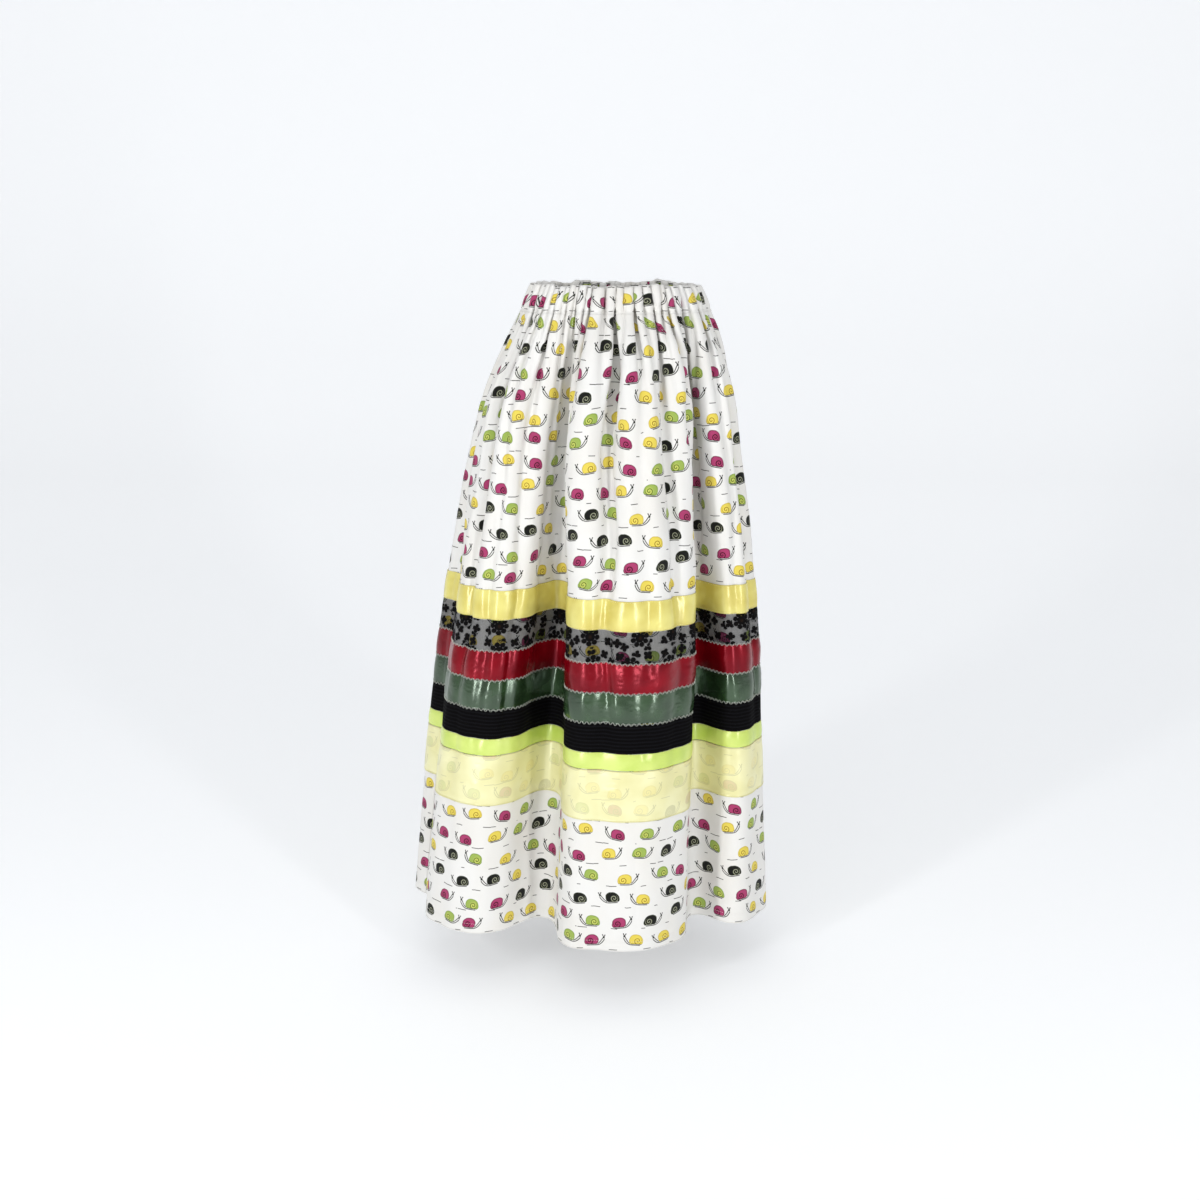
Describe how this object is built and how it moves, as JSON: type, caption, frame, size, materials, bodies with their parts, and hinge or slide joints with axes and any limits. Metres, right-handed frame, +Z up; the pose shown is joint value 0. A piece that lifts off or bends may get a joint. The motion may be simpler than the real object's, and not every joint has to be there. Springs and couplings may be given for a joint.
{
  "type": "gathered ribbon skirt",
  "caption": "Long gathered skirt with an elastic waist casing, a small scattered print and ribbons sewn all round its lower half, filled out as worn.",
  "frame": {"origin": "middle of the waist, half-way up the elastic casing, where the wearer's waist holds the skirt", "axes": "+Z up, -Y out of the front, +X to the viewer's right when looking at the front"},
  "size_m": [0.4859, 0.3508, 0.8302],
  "materials": {
    "printed_cotton": "plain woven cotton with a small scattered snail print",
    "yellow_satin": "yellow satin ribbon",
    "black_lace": "sheer black net with flocked flowers",
    "red_satin": "dark red satin ribbon",
    "green_satin": "dark green satin ribbon",
    "black_trim": "matt black ribbed trim",
    "lime_satin": "lime satin ribbon",
    "pale_sheer": "wide pale yellow half-sheer ribbon"
  },
  "bodies": {
    "root": {"front_panel": "printed_cotton", "back_panel": "printed_cotton", "waist_casing": "printed_cotton", "yellow_ribbon": "yellow_satin", "lace_ribbon": "black_lace", "red_ribbon": "red_satin", "green_ribbon": "green_satin", "black_ribbon": "black_trim", "lime_ribbon": "lime_satin", "pale_ribbon": "pale_sheer"}
  },
  "joints": []
}
